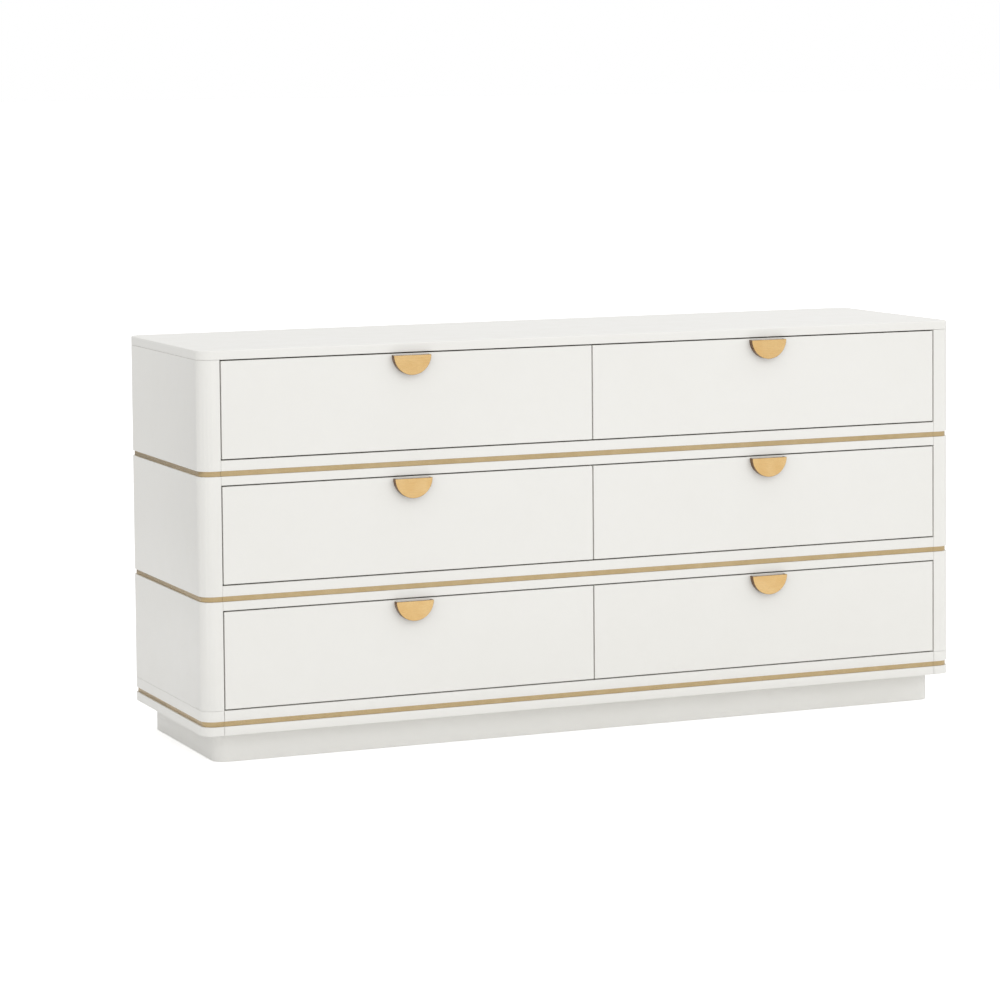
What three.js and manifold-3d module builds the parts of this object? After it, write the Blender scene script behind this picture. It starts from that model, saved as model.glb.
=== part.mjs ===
// A low, wide dresser with six inset drawers in two columns of three. The case is white satin
// lacquer over board, with rounded corners, three recessed brass bands that run round its front and
// sides, and a plinth set back under it. Each drawer has a half-round brass pull and runs on a pair
// of side-mounted steel slides.
//
// Units are millimetres. +Z is up, the drawers open towards -Y, and the origin is at the middle of
// the overall box, on the floor.

import * as THREE from "three";
import { mergeVertices } from "three/addons/utils/BufferGeometryUtils.js";
import Module from "manifold-3d";

const wasm = await Module();
wasm.setup();

// ---- Driving dimensions ------------------------------------------------------------------------

// Overall size. The depth is measured over the drawer pulls.
const WIDTH = 1574.8;
const DEPTH = 457.2;
const HEIGHT = 767.08;

// Case.
const TOP_THICKNESS = 17;
const TOP_EASE = 2.5; // rounding of the top panel's upper edge
const SIDE_THICKNESS = 18;
const POST_WIDTH = 39.5; // each of the four corner posts, across the front or back
const POST_DEPTH = 45; // corner post, front to back
const CORNER_RADIUS = 25.4; // all four upright corners of the case
const BACK_THICKNESS = 6;
const BACK_REBATE = 9; // how far the back panel laps into each back post
const DIVIDER_THICKNESS = 18;
const DIVIDER_SETBACK = 2; // from the back of the drawer fronts to the divider
const RAIL_HEIGHT = 46; // front rails, and the base frame
const RAIL_DEPTH = 40;
const CLEAT_HEIGHT = 60; // packing cleats that carry the outer slides

// Base frame and plinth.
const DECK_THICKNESS = 18;
const APRON_WIDTH = 60;
const PLINTH_HEIGHT = 55.6;
const PLINTH_INSET = 31; // from the case to the plinth, all round
const PLINTH_THICKNESS = 18;
const PLINTH_RADIUS = 25;

// Brass bands.
const BAND_DROP = 19.5; // from a rail's upper edge to its groove
const BAND_GROOVE_HEIGHT = 10;
const BAND_THICKNESS = 3;
const BAND_RECESS = 3; // from the case's surface to the band's
const BAND_CLEARANCE = 0.2; // above, below and behind a band

// Drawers.
const DRAWER_GAP = 2.5; // shown all round each drawer front
const FRONT_THICKNESS = 18;
const BOX_WALL = 12;
const BOX_CLEARANCE_BELOW = 14;
const BOX_CLEARANCE_ABOVE = 31.5;
const BOX_CLEARANCE_BEHIND = 20;
const FLOOR_THICKNESS = 6;
const FLOOR_LIFT = 12; // from the box's lower edge to its floor
const FLOOR_GROOVE = 6; // how far the floor runs into the box walls

// Drawer slides, a fixed channel on the case and a moving one on the drawer.
const SLIDE_THICKNESS = 12.7; // both channels together
const SLIDE_GAUGE = 1.5; // steel sheet
const SLIDE_HALF_HEIGHT = 22.5;
const SLIDE_LIP = 3.5; // turned edges of the fixed channel
const SLIDE_LIP_CLEARANCE = 2.5; // from those edges to the moving channel
const SLIDE_NEST_CLEARANCE = 2.2; // between the two channels, across the slide
const SLIDE_FACE_CLEARANCE = 2.7; // from the fixed channel's mouth to the drawer box
const SLIDE_CENTRE = 50; // above the drawer box's lower edge
const SLIDE_FRONT_SETBACK = 2; // behind the drawer front
const SLIDE_BACK_SETBACK = 50; // in from the back of the drawer box

// Pulls: a half-round cup, open along its flat top, with two screw posts behind its face.
const PULL_REACH = 12.7; // from the drawer front to the face of the pull
const PULL_SETDOWN = 2.5; // from the top of the drawer front to the pull's flat edge
const PULL_RADIUS = 37.5;
const PULL_THICKNESS = 4;
const PULL_RIM = 3; // thickness of the half-round wall behind the face
const PULL_POST_RADIUS = 4;
const PULL_POST_SPACING = 38;
const PULL_POST_DROP = 13; // from the pull's flat edge

const JOINT_GAP = 0.3; // left between pieces that meet
const SEAM_WIDTH = 0.5; // scribed line between a corner and the run of the front
const SEAM_DEPTH = 1.2;
const OVERCUT = 5; // how far a cutter passes the surface it cuts
const ARC_SEGMENTS = 8; // per curve

// ---- Positions that follow from them -------------------------------------------------------------

const HALF_WIDTH = WIDTH / 2;
const BACK = DEPTH / 2;
const FRONT = -DEPTH / 2 + PULL_REACH; // plane of the drawer fronts, posts and rails
const POST_INNER = HALF_WIDTH - POST_WIDTH; // half the width between the posts
const DIVIDER_HALF = DIVIDER_THICKNESS / 2;
const TOP_UNDERSIDE = HEIGHT - TOP_THICKNESS;
const ROWS = ["top", "middle", "bottom"];
const OPENING_HEIGHT =
  (TOP_UNDERSIDE - PLINTH_HEIGHT) / ROWS.length - RAIL_HEIGHT;
const BASE_TOP = PLINTH_HEIGHT + RAIL_HEIGHT;
const BACK_PANEL_FRONT = BACK - BACK_THICKNESS;
const GROOVE_DEPTH = BAND_RECESS + BAND_THICKNESS + BAND_CLEARANCE;

const BOX_FRONT = FRONT + FRONT_THICKNESS + JOINT_GAP;
const BOX_BACK = BACK_PANEL_FRONT - BOX_CLEARANCE_BEHIND;
const BOX_HEIGHT = OPENING_HEIGHT - BOX_CLEARANCE_BELOW - BOX_CLEARANCE_ABOVE;
const SLIDE_FRONT = FRONT + FRONT_THICKNESS + SLIDE_FRONT_SETBACK;
const SLIDE_BACK = BOX_BACK - SLIDE_BACK_SETBACK;

// Height of the lower edge of a row's opening, which is the upper edge of the rail below it.
function openingBottom(row) {
  return TOP_UNDERSIDE - OPENING_HEIGHT - row * (OPENING_HEIGHT + RAIL_HEIGHT);
}

// Height of a row's slides, at their middle.
function slideHeight(row) {
  return openingBottom(row) + BOX_CLEARANCE_BELOW + SLIDE_CENTRE;
}

// ---- Solids --------------------------------------------------------------------------------------

function block(x0, x1, y0, y1, z0, z1) {
  const geometry = new THREE.BoxGeometry(x1 - x0, y1 - y0, z1 - z0);
  return geometry.translate((x0 + x1) / 2, (y0 + y1) / 2, (z0 + z1) / 2);
}

// An upright extrusion of a plan shape between two heights.
function upright(shape, z0, z1) {
  const options = {
    depth: z1 - z0,
    bevelEnabled: false,
    curveSegments: ARC_SEGMENTS,
  };
  return new THREE.ExtrudeGeometry(shape, options).translate(0, 0, z0);
}

function toSolid(geometry) {
  const bare = geometry.clone();
  bare.deleteAttribute("normal");
  bare.deleteAttribute("uv");
  const merged = mergeVertices(bare, 1e-4);
  return new wasm.Manifold(
    new wasm.Mesh({
      numProp: 3,
      vertProperties: new Float32Array(merged.attributes.position.array),
      triVerts: new Uint32Array(merged.index.array),
    }),
  );
}

function toGeometry(solid) {
  const mesh = solid.getMesh();
  const geometry = new THREE.BufferGeometry();
  geometry.setAttribute(
    "position",
    new THREE.BufferAttribute(mesh.vertProperties, 3),
  );
  geometry.setIndex(new THREE.BufferAttribute(mesh.triVerts, 1));
  const flat = geometry.toNonIndexed();
  flat.computeVertexNormals();
  return flat;
}

// One geometry with others joined to it and others cut from it.
function shaped(base, joined, cut) {
  let solid = toSolid(base);
  for (const piece of joined) solid = solid.add(toSolid(piece));
  for (const piece of cut) solid = solid.subtract(toSolid(piece));
  return toGeometry(solid);
}

// ---- The case's outline --------------------------------------------------------------------------

// The case seen from above, drawn in by an inset, with round corners.
function casePlan(inset, radius) {
  const x = HALF_WIDTH - inset;
  const front = FRONT + inset;
  const back = BACK - inset;
  const shape = new THREE.Shape();
  shape.moveTo(-x + radius, front);
  shape.lineTo(x - radius, front);
  shape.absarc(x - radius, front + radius, radius, -Math.PI / 2, 0, false);
  shape.lineTo(x, back - radius);
  shape.absarc(x - radius, back - radius, radius, 0, Math.PI / 2, false);
  shape.lineTo(-x + radius, back);
  shape.absarc(-x + radius, back - radius, radius, Math.PI / 2, Math.PI, false);
  shape.lineTo(-x, front + radius);
  shape.absarc(
    -x + radius,
    front + radius,
    radius,
    Math.PI,
    (3 * Math.PI) / 2,
    false,
  );
  return shape;
}

function caseSlab(z0, z1) {
  return upright(casePlan(0, CORNER_RADIUS), z0, z1);
}

// Upper edge of the band groove in the rail, or the base frame, under a row.
function grooveTop(row) {
  return openingBottom(row) - BAND_DROP;
}

// A loop round the case between two insets from its outline, open across the back: it ends where
// the back corners do, less a clearance.
function bandLoop(outerInset, innerInset, clearance, z0, z1) {
  const outer = casePlan(outerInset, CORNER_RADIUS - outerInset);
  const inner = casePlan(innerInset, CORNER_RADIUS - innerInset);
  const core = upright(inner, z0 - OVERCUT, z1 + OVERCUT);
  const end = HALF_WIDTH - CORNER_RADIUS + clearance;
  const backRun = block(
    -end,
    end,
    0,
    BACK + 2 * OVERCUT,
    z0 - OVERCUT,
    z1 + OVERCUT,
  );
  return shaped(upright(outer, z0, z1), [], [core, backRun]);
}

function grooveCutter(row) {
  const z1 = grooveTop(row);
  return bandLoop(-OVERCUT, GROOVE_DEPTH, 0, z1 - BAND_GROOVE_HEIGHT, z1);
}

// Fine upright lines that mark where the rounded corners meet the run of the front.
function seamCutters(face, z0, z1) {
  return [-POST_INNER, POST_INNER].map((x) =>
    block(
      x - SEAM_WIDTH / 2,
      x + SEAM_WIDTH / 2,
      face - OVERCUT,
      face + SEAM_DEPTH,
      z0 - OVERCUT,
      z1 + OVERCUT,
    ),
  );
}

// ---- Case pieces ---------------------------------------------------------------------------------

// The top: one slab over the whole case, its upper edge rounded over.
function topPanel() {
  const options = {
    depth: 2 * TOP_THICKNESS - 2 * TOP_EASE,
    bevelThickness: TOP_EASE,
    bevelSize: TOP_EASE,
    bevelOffset: -TOP_EASE,
    bevelSegments: 3,
    curveSegments: ARC_SEGMENTS,
  };
  const plan = casePlan(0, CORNER_RADIUS);
  const doubled = new THREE.ExtrudeGeometry(plan, options).translate(
    0,
    0,
    TOP_UNDERSIDE - TOP_THICKNESS + TOP_EASE,
  );
  const below = block(
    -WIDTH,
    WIDTH,
    -DEPTH,
    DEPTH,
    TOP_UNDERSIDE - TOP_THICKNESS - OVERCUT,
    TOP_UNDERSIDE,
  );
  return shaped(doubled, [], [below]);
}

// A side: outer board and two rounded corner posts in one glued piece, with a cleat between the
// posts for each slide. Drawn for the right-hand side.
function sidePanel() {
  const z0 = BASE_TOP + JOINT_GAP;
  const z1 = TOP_UNDERSIDE - JOINT_GAP;
  const inside = HALF_WIDTH - SIDE_THICKNESS;
  const rebate = POST_INNER + BACK_REBATE;
  const frontPostEnd = FRONT + POST_DEPTH;
  const backPostEnd = BACK - POST_DEPTH;
  const arcX = HALF_WIDTH - CORNER_RADIUS;
  const frontArcY = FRONT + CORNER_RADIUS;
  const backArcY = BACK - CORNER_RADIUS;
  const plan = new THREE.Shape();
  plan.moveTo(POST_INNER, FRONT);
  plan.lineTo(arcX, FRONT);
  plan.absarc(arcX, frontArcY, CORNER_RADIUS, -Math.PI / 2, 0, false);
  plan.lineTo(HALF_WIDTH, backArcY);
  plan.absarc(arcX, backArcY, CORNER_RADIUS, 0, Math.PI / 2, false);
  plan.lineTo(rebate, BACK);
  plan.lineTo(rebate, BACK_PANEL_FRONT - JOINT_GAP);
  plan.lineTo(POST_INNER, BACK_PANEL_FRONT - JOINT_GAP);
  plan.lineTo(POST_INNER, backPostEnd);
  plan.lineTo(inside, backPostEnd);
  plan.lineTo(inside, frontPostEnd);
  plan.lineTo(POST_INNER, frontPostEnd);
  const cleats = ROWS.map((_, row) =>
    block(
      POST_INNER,
      inside + OVERCUT,
      frontPostEnd - OVERCUT,
      backPostEnd + OVERCUT,
      slideHeight(row) - CLEAT_HEIGHT / 2,
      slideHeight(row) + CLEAT_HEIGHT / 2,
    ),
  );
  return shaped(upright(plan, z0, z1), cleats, [
    grooveCutter(0),
    grooveCutter(1),
  ]);
}

// The back: a thin board let into the rebates of the back posts.
function backPanel() {
  const x = POST_INNER + BACK_REBATE - JOINT_GAP;
  return block(
    -x,
    x,
    BACK_PANEL_FRONT,
    BACK,
    BASE_TOP + JOINT_GAP,
    TOP_UNDERSIDE - JOINT_GAP,
  );
}

function railBlock(row, gap) {
  const z1 = openingBottom(row);
  return block(
    -POST_INNER + JOINT_GAP - gap,
    POST_INNER - JOINT_GAP + gap,
    FRONT - gap,
    FRONT + RAIL_DEPTH + gap,
    z1 - RAIL_HEIGHT - gap,
    z1 + gap,
  );
}

// A rail between two rows of drawers, grooved for its band.
function rail(row) {
  return shaped(railBlock(row, 0), [], [grooveCutter(row)]);
}

// The upright between the columns, halved over the two rails.
function centerDivider() {
  const board = block(
    -DIVIDER_HALF,
    DIVIDER_HALF,
    FRONT + FRONT_THICKNESS + DIVIDER_SETBACK,
    BACK_PANEL_FRONT - JOINT_GAP,
    BASE_TOP + JOINT_GAP,
    TOP_UNDERSIDE - JOINT_GAP,
  );
  return shaped(board, [], [railBlock(0, JOINT_GAP), railBlock(1, JOINT_GAP)]);
}

// The base: a deck with an apron under its edge, grooved for the lowest band.
function baseFrame() {
  const recess = block(
    -HALF_WIDTH + APRON_WIDTH,
    HALF_WIDTH - APRON_WIDTH,
    FRONT + APRON_WIDTH,
    BACK - APRON_WIDTH,
    PLINTH_HEIGHT - OVERCUT,
    BASE_TOP - DECK_THICKNESS,
  );
  return shaped(
    caseSlab(PLINTH_HEIGHT, BASE_TOP),
    [],
    [
      recess,
      grooveCutter(ROWS.length - 1),
      ...seamCutters(FRONT, PLINTH_HEIGHT, BASE_TOP),
    ],
  );
}

// A band: a flat brass strip bent round all four corners, open across the back.
function band(row) {
  const z1 = grooveTop(row) - BAND_CLEARANCE;
  const z0 = grooveTop(row) - BAND_GROOVE_HEIGHT + BAND_CLEARANCE;
  const innerInset = BAND_RECESS + BAND_THICKNESS;
  const strip = bandLoop(BAND_RECESS, innerInset, BAND_CLEARANCE, z0, z1);
  return shaped(strip, [], seamCutters(FRONT + BAND_RECESS, z0, z1));
}

// The plinth: a ring of boards with a stretcher across its middle.
function plinth() {
  const z1 = PLINTH_HEIGHT - JOINT_GAP;
  const ring = upright(casePlan(PLINTH_INSET, PLINTH_RADIUS), 0, z1);
  const inset = PLINTH_INSET + PLINTH_THICKNESS;
  const bay = (x0, x1) =>
    block(
      x0,
      x1,
      FRONT + inset,
      BACK - inset,
      -OVERCUT,
      PLINTH_HEIGHT + OVERCUT,
    );
  const stretcher = PLINTH_THICKNESS / 2;
  return shaped(
    ring,
    [],
    [
      bay(-HALF_WIDTH + inset, -stretcher),
      bay(stretcher, HALF_WIDTH - inset),
    ],
  );
}

// ---- Slides --------------------------------------------------------------------------------------

// Section of a folded channel: its web at one place, its flanges reaching to a mouth, each with an
// edge turned inwards when there is a lip.
function channelSection(web, mouth, halfHeight, lip) {
  const towards = Math.sign(mouth - web);
  const inner = web + towards * SLIDE_GAUGE;
  const turned = mouth - towards * SLIDE_GAUGE;
  const shape = new THREE.Shape();
  shape.moveTo(web, -halfHeight);
  shape.lineTo(mouth, -halfHeight);
  if (lip > 0) {
    shape.lineTo(mouth, -halfHeight + SLIDE_GAUGE + lip);
    shape.lineTo(turned, -halfHeight + SLIDE_GAUGE + lip);
    shape.lineTo(turned, -halfHeight + SLIDE_GAUGE);
  } else {
    shape.lineTo(mouth, -halfHeight + SLIDE_GAUGE);
  }
  shape.lineTo(inner, -halfHeight + SLIDE_GAUGE);
  shape.lineTo(inner, halfHeight - SLIDE_GAUGE);
  if (lip > 0) {
    shape.lineTo(turned, halfHeight - SLIDE_GAUGE);
    shape.lineTo(turned, halfHeight - SLIDE_GAUGE - lip);
    shape.lineTo(mouth, halfHeight - SLIDE_GAUGE - lip);
  } else {
    shape.lineTo(mouth, halfHeight - SLIDE_GAUGE);
  }
  shape.lineTo(mouth, halfHeight);
  shape.lineTo(web, halfHeight);
  return shape;
}

// A channel of that section, run from the front end of the slides to the back end.
function channel(section) {
  const options = { depth: SLIDE_BACK - SLIDE_FRONT, bevelEnabled: false };
  const run = new THREE.ExtrudeGeometry(section, options);
  return run.rotateX(Math.PI / 2).translate(0, SLIDE_BACK, 0);
}

// The fixed channel stands on the case, its mouth towards the drawer.
function fixedChannel() {
  const mouth = SLIDE_THICKNESS - SLIDE_FACE_CLEARANCE;
  const section = channelSection(
    JOINT_GAP,
    mouth,
    SLIDE_HALF_HEIGHT,
    SLIDE_LIP,
  );
  return channel(section);
}

// The moving channel is on the drawer box and runs inside the fixed one.
function movingChannel() {
  const mouth = JOINT_GAP + SLIDE_GAUGE + SLIDE_NEST_CLEARANCE;
  const halfHeight =
    SLIDE_HALF_HEIGHT - SLIDE_GAUGE - SLIDE_LIP - SLIDE_LIP_CLEARANCE;
  return channel(
    channelSection(SLIDE_THICKNESS - JOINT_GAP, mouth, halfHeight, 0),
  );
}

// ---- Drawers, drawn for the right-hand column with z = 0 at the opening's lower edge ----------------

const FRONT_INNER = DRAWER_GAP / 2;
const FRONT_OUTER = POST_INNER - DRAWER_GAP;
const FRONT_TOP = OPENING_HEIGHT - DRAWER_GAP;
const BOX_INNER = DIVIDER_HALF + SLIDE_THICKNESS;
const BOX_OUTER = POST_INNER - SLIDE_THICKNESS;

function drawerFront() {
  return block(
    FRONT_INNER,
    FRONT_OUTER,
    FRONT,
    FRONT + FRONT_THICKNESS,
    DRAWER_GAP,
    FRONT_TOP,
  );
}

// The box under the drawer front: two sides, a front and a back, glued up and grooved for the floor.
function drawerBox() {
  const z0 = BOX_CLEARANCE_BELOW;
  const z1 = z0 + BOX_HEIGHT;
  const insideOf = (wall, low, high) =>
    block(
      BOX_INNER + wall,
      BOX_OUTER - wall,
      BOX_FRONT + wall,
      BOX_BACK - wall,
      low,
      high,
    );
  const hollow = insideOf(BOX_WALL, z0 - OVERCUT, z1 + OVERCUT);
  const groove = insideOf(
    BOX_WALL - FLOOR_GROOVE,
    z0 + FLOOR_LIFT - JOINT_GAP,
    z0 + FLOOR_LIFT + FLOOR_THICKNESS + JOINT_GAP,
  );
  const outside = block(BOX_INNER, BOX_OUTER, BOX_FRONT, BOX_BACK, z0, z1);
  return shaped(outside, [], [hollow, groove]);
}

function drawerFloor() {
  const wall = BOX_WALL - FLOOR_GROOVE + JOINT_GAP;
  const z0 = BOX_CLEARANCE_BELOW + FLOOR_LIFT;
  return block(
    BOX_INNER + wall,
    BOX_OUTER - wall,
    BOX_FRONT + wall,
    BOX_BACK - wall,
    z0,
    z0 + FLOOR_THICKNESS,
  );
}

// A pull with its flat edge at z = 0: half a disc, bored out from behind into a cup, and its two posts.
function pull() {
  const half = new THREE.Shape();
  half.moveTo(-PULL_RADIUS, 0);
  half.absarc(0, 0, PULL_RADIUS, Math.PI, 2 * Math.PI, false);
  const options = {
    depth: PULL_REACH - JOINT_GAP,
    bevelEnabled: false,
    curveSegments: 3 * ARC_SEGMENTS,
  };
  const blank = new THREE.ExtrudeGeometry(half, options)
    .rotateX(Math.PI / 2)
    .translate(0, FRONT - JOINT_GAP, 0);
  const standOff = PULL_REACH - PULL_THICKNESS - JOINT_GAP;
  const bore = new THREE.CylinderGeometry(
    PULL_RADIUS - PULL_RIM,
    PULL_RADIUS - PULL_RIM,
    standOff + OVERCUT,
    6 * ARC_SEGMENTS,
  ).translate(0, FRONT - JOINT_GAP + (OVERCUT - standOff) / 2, 0);
  const embed = PULL_THICKNESS / 2;
  const posts = [-PULL_POST_SPACING / 2, PULL_POST_SPACING / 2].map((x) =>
    new THREE.CylinderGeometry(
      PULL_POST_RADIUS,
      PULL_POST_RADIUS,
      standOff + embed,
      2 * ARC_SEGMENTS,
    ).translate(
      x,
      FRONT - JOINT_GAP - (standOff + embed) / 2,
      -PULL_POST_DROP,
    ),
  );
  const cup = shaped(blank, [], [bore]);
  return shaped(cup, posts, []);
}

// ---- Materials -------------------------------------------------------------------------------------

function material(color, roughness, metalness) {
  return new THREE.MeshStandardMaterial({ color, roughness, metalness });
}

const lacquer = () => material(0xefeeea, 0.35, 0);
const brass = () => material(0xd3a765, 0.3, 1);
const boxWood = () => material(0xd9c19a, 0.6, 0);
const floorBoard = () => material(0xe3d3b4, 0.65, 0);
const steel = () => material(0xb9bcc0, 0.4, 1);

// ---- Assembly --------------------------------------------------------------------------------------

function piece(name, geometry, look) {
  const mesh = new THREE.Mesh(geometry, look);
  mesh.name = name;
  return mesh;
}

// A slide channel stands on either wall of a bay: the divider, or the post, where it is turned over.
function slidePiece(name, geometry, isOuter, height) {
  const mesh = piece(name, geometry, steel());
  mesh.position.set(isOuter ? POST_INNER : DIVIDER_HALF, 0, height);
  mesh.scale.x = isOuter ? -1 : 1;
  return mesh;
}

function carcass() {
  const group = new THREE.Group();
  const leftSide = piece("side_panel_left", sidePanel(), lacquer());
  leftSide.scale.x = -1;
  group.add(
    piece("top_panel", topPanel(), lacquer()),
    leftSide,
    piece("side_panel_right", sidePanel(), lacquer()),
    piece("back_panel", backPanel(), lacquer()),
    piece("center_divider", centerDivider(), lacquer()),
    piece("upper_rail", rail(0), lacquer()),
    piece("lower_rail", rail(1), lacquer()),
    piece("base_frame", baseFrame(), lacquer()),
    piece("upper_band", band(0), brass()),
    piece("middle_band", band(1), brass()),
    piece("lower_band", band(2), brass()),
    piece("plinth", plinth(), lacquer()),
  );
  return group;
}

// One bay: the fixed channels and the drawer of a row, on one side of the divider.
function bay(row, column) {
  const group = new THREE.Group();
  group.position.z = openingBottom(row);
  group.scale.x = column === "left" ? -1 : 1;
  const place = `${ROWS[row]}_${column}`;
  const slideLevel = BOX_CLEARANCE_BELOW + SLIDE_CENTRE;
  for (const wall of ["inner", "outer"]) {
    const isOuter = wall === "outer";
    group.add(
      slidePiece(
        `runner_${place}_${wall}`,
        fixedChannel(),
        isOuter,
        slideLevel,
      ),
      slidePiece(
        `drawer_${place}_slide_${wall}`,
        movingChannel(),
        isOuter,
        slideLevel,
      ),
    );
  }
  const pullPiece = piece(`drawer_${place}_pull`, pull(), brass());
  pullPiece.position.set(
    (FRONT_INNER + FRONT_OUTER) / 2,
    0,
    FRONT_TOP - PULL_SETDOWN,
  );
  group.add(
    piece(`drawer_${place}_front`, drawerFront(), lacquer()),
    pullPiece,
    piece(`drawer_${place}_box`, drawerBox(), boxWood()),
    piece(`drawer_${place}_floor`, drawerFloor(), floorBoard()),
  );
  return group;
}

const dresser = new THREE.Group();
dresser.add(carcass());
for (let row = 0; row < ROWS.length; row += 1) {
  dresser.add(bay(row, "left"), bay(row, "right"));
}

export default dresser;
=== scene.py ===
import math

import bmesh
import bpy
from mathutils import Matrix, Vector


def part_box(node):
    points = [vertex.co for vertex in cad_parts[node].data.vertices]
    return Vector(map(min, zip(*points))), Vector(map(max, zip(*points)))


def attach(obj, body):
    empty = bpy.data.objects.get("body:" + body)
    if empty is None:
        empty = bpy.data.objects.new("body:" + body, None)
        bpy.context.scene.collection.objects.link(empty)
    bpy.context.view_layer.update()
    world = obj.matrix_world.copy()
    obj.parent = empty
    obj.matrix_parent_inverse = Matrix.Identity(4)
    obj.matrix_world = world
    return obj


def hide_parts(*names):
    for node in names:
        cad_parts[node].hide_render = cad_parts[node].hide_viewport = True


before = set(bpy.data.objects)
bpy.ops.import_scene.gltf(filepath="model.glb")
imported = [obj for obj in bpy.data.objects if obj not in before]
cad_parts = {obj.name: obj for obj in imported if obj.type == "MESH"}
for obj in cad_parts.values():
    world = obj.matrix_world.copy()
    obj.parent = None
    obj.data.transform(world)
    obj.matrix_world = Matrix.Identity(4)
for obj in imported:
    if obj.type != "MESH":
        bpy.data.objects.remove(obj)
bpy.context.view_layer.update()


# ---- Plinth -------------------------------------------------------------------------------------
# A ring of four boards with a stretcher across its middle, set back under the case so that the case
# seems to float. The boards are mitred and glued, the corners rounded to follow the case above, and
# the whole is sprayed with the same warm white satin lacquer as everything outside.
PLINTH_BOARD = 0.018
PLINTH_CORNER = 0.025
CORNER_STEPS = 20
ARRIS = 0.0008  # sanded edge of a lacquered board
NEAR = 1e-5  # places closer than this are one place
FLAT_TURN = math.radians(0.5)  # faces that turn less than this are merged
CREASE_TURN = math.radians(35)  # edges that turn more than this are sanded
SMOOTH_TURN = math.radians(40)  # edges that turn less than this are shaded smooth

LACQUER_WHITE = (0.862, 0.853, 0.818, 1)
LACQUER_DRIFT = (0.846, 0.836, 0.798, 1)
LACQUER_THIN = (0.80, 0.782, 0.73, 1)
LACQUER_IOR = 1.5


def activate(ob):
    bpy.ops.object.select_all(action="DESELECT")
    ob.select_set(True)
    bpy.context.view_layer.objects.active = ob


def block(name, low, high):
    """A box between two corners, its place in its mesh."""
    bpy.ops.object.select_all(action="DESELECT")
    low, high = Vector(low), Vector(high)
    bpy.ops.mesh.primitive_cube_add(size=1, location=(low + high) / 2, scale=high - low)
    bpy.ops.object.transform_apply(location=True, rotation=True, scale=True)
    ob = bpy.context.object
    ob.name = ob.data.name = name
    return ob


def select_edges(ob, chosen):
    """Enters edit mode with only the edges selected whose two ends pass chosen(a, b)."""
    activate(ob)
    bpy.ops.object.mode_set(mode="EDIT")
    bpy.ops.mesh.select_mode(type="EDGE")
    bpy.ops.mesh.select_all(action="DESELECT")
    bm = bmesh.from_edit_mesh(ob.data)
    for edge in bm.edges:
        if chosen(edge.verts[0].co, edge.verts[1].co):
            edge.select_set(True)
    bmesh.update_edit_mesh(ob.data)


def round_edges(ob, chosen, radius, steps):
    select_edges(ob, chosen)
    bpy.ops.mesh.bevel(offset=radius, segments=steps, profile=0.5, affect="EDGES")
    bpy.ops.object.mode_set(mode="OBJECT")


def upright(a, b):
    """Picks the edges that stand upright."""
    return abs(a.z - b.z) > NEAR


def cut(ob, tool, operation="DIFFERENCE"):
    """Takes the tool's shape out of a piece, or adds it with UNION, and removes the tool."""
    modifier = ob.modifiers.new("cut", "BOOLEAN")
    modifier.operation = operation
    modifier.solver = "EXACT"
    modifier.object = tool
    activate(ob)
    bpy.ops.object.modifier_apply(modifier=modifier.name)
    bpy.data.objects.remove(tool, do_unlink=True)


def cut_block(ob, low, high):
    """Takes a box between two corners out of a piece."""
    cut(ob, block("cutter", low, high))


def ease(ob, width, steps=3):
    """Breaks the sharp edges, marks their faces as edge, and shades flat faces flat."""
    ob.data.materials.clear()
    ob.data.materials.append(None)
    ob.data.materials.append(None)
    activate(ob)
    bpy.ops.object.mode_set(mode="EDIT")
    bpy.ops.mesh.select_all(action="SELECT")
    bpy.ops.mesh.remove_doubles(threshold=NEAR)
    bpy.ops.mesh.dissolve_limited(angle_limit=FLAT_TURN)
    bpy.ops.object.mode_set(mode="OBJECT")
    if width > 0:
        modifier = ob.modifiers.new("arris", "BEVEL")
        modifier.width = width
        modifier.segments = steps
        modifier.limit_method = "ANGLE"
        modifier.angle_limit = CREASE_TURN
        modifier.material = 1
        bpy.ops.object.modifier_apply(modifier=modifier.name)
    mark = ob.data.attributes.new("edge", "FLOAT", "FACE")
    for face in ob.data.polygons:
        mark.data[face.index].value = float(face.material_index == 1)
        face.material_index = 0
    ob.data.materials.clear()
    bpy.ops.object.shade_smooth_by_angle(angle=SMOOTH_TURN)
    modifier = ob.modifiers.new("flat faces", "WEIGHTED_NORMAL")
    modifier.weight = 100
    modifier.keep_sharp = True
    bpy.ops.object.modifier_apply(modifier=modifier.name)


def fit_piece(ob, body, material, slot, *nodes):
    """Gives a piece its finish, its body, and the CAD nodes that it stands for."""
    ob.data.materials.clear()
    ob.data.materials.append(material)
    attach(ob, body)
    if nodes:
        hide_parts(*nodes)


def node_group(name, *inputs):
    """An empty shader group for a finish, with its input and output nodes."""
    group = bpy.data.node_groups.new(name, "ShaderNodeTree")
    for title, kind, default in inputs:
        socket = group.interface.new_socket(title, in_out="INPUT", socket_type="NodeSocket" + kind)
        if default is not None:
            socket.default_value = default
    for title, kind in (("Color", "Color"), ("Roughness", "Float"), ("Normal", "Vector")):
        group.interface.new_socket(title, in_out="OUTPUT", socket_type="NodeSocket" + kind)
    return group, group.nodes.new("NodeGroupInput"), group.nodes.new("NodeGroupOutput")


def add(tree, kind, values=(), **settings):
    """A node with its settings, and its sockets set or linked by name or number."""
    node = tree.nodes.new(kind)
    for key, value in settings.items():
        setattr(node, key, value)
    for key, value in dict(values).items():
        if isinstance(value, bpy.types.NodeSocket):
            tree.links.new(value, node.inputs[key])
        else:
            node.inputs[key].default_value = value
    return node


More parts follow.
